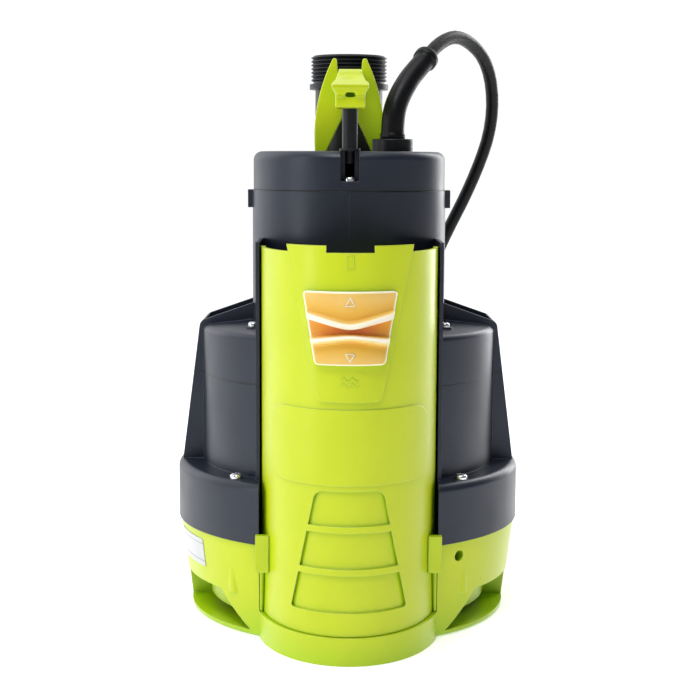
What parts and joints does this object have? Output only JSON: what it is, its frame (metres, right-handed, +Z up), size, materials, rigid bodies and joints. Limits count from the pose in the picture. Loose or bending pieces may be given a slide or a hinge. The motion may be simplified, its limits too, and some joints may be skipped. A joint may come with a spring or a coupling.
{
  "type": "submersible sump pump",
  "caption": "Upright submersible sump pump with a base with four side inlets, integral float chamber with a mode selector, top handle, threaded top outlet and supply cable.",
  "frame": {"origin": "on the motor shaft's axis, at the flat underside of the base", "axes": "+Z up along the shaft, -Y towards the float chamber (front), +X to the right seen from the front"},
  "size_m": [0.2042, 0.4469, 0.3481],
  "materials": {
    "housing_black": "fine-grained satin",
    "lime_plastic": "satin moulded",
    "selector_orange": "satin moulded",
    "thread_black": "satin",
    "cable_rubber": "matt",
    "seal_rubber": "matt",
    "screw_steel": "bright",
    "machine_steel": "ground",
    "lamination_steel": "laminated",
    "copper_winding": "varnished",
    "cast_aluminium": "cast",
    "ceramic": "ground",
    "inner_plastic": "matt",
    "float_plastic": "matt",
    "magnet": "sintered",
    "pin_brass": "nickel-plated",
    "label_white": "semi-gloss film"
  },
  "bodies": {
    "pump": {"base_strainer": "lime_plastic", "lower_casing": "housing_black", "motor_housing": "housing_black", "top_cap": "housing_black", "cap_screws": "screw_steel", "flange_screws": "screw_steel", "shoulder_screws": "screw_steel", "cap_gasket": "seal_rubber", "casing_seal": "seal_rubber", "volute_seal": "seal_rubber", "volute_casing": "inner_plastic", "discharge_pipe": "thread_black", "seal_carrier": "cast_aluminium", "seal_seat": "ceramic", "motor_can": "machine_steel", "bearing_bracket": "cast_aluminium", "lower_bearing": "machine_steel", "upper_bearing": "machine_steel", "stator_core": "lamination_steel", "stator_winding": "copper_winding", "start_capacitor": "inner_plastic", "terminal_block": "inner_plastic", "reed_switch": "inner_plastic", "guide_rod": "machine_steel", "float_cover": "lime_plastic", "handle_post": "thread_black", "carry_handle": "lime_plastic", "cable_gland": "thread_black", "bend_relief": "cable_rubber", "cord_run": "cable_rubber", "cord_coil": "cable_rubber", "coil_tie": "seal_rubber", "plug_body": "cable_rubber", "plug_pins": "pin_brass", "rating_label": "label_white"},
    "rotor": {"shaft": "machine_steel", "rotor_core": "lamination_steel", "rotor_end_rings": "cast_aluminium", "impeller": "inner_plastic", "impeller_nut": "screw_steel", "seal_head": "seal_rubber"},
    "float": {"float_body": "float_plastic", "float_magnet": "magnet"},
    "selector": {"mode_slider": "selector_orange", "slider_carrier": "inner_plastic", "slider_magnet": "magnet"}
  },
  "joints": [
    {"name": "rotor_spin", "type": "hinge", "parent": "pump", "child": "rotor", "pos_m": [0, 0, 0.1], "axis": [0, 0, 1], "continuous": true},
    {"name": "float_slide", "type": "slide", "parent": "pump", "child": "float", "axis": [0, 0, 1], "range_m": [0, 0.04]},
    {"name": "selector_slide", "type": "slide", "parent": "pump", "child": "selector", "axis": [0, 0, 1], "range_m": [-0.005, 0.008]}
  ]
}
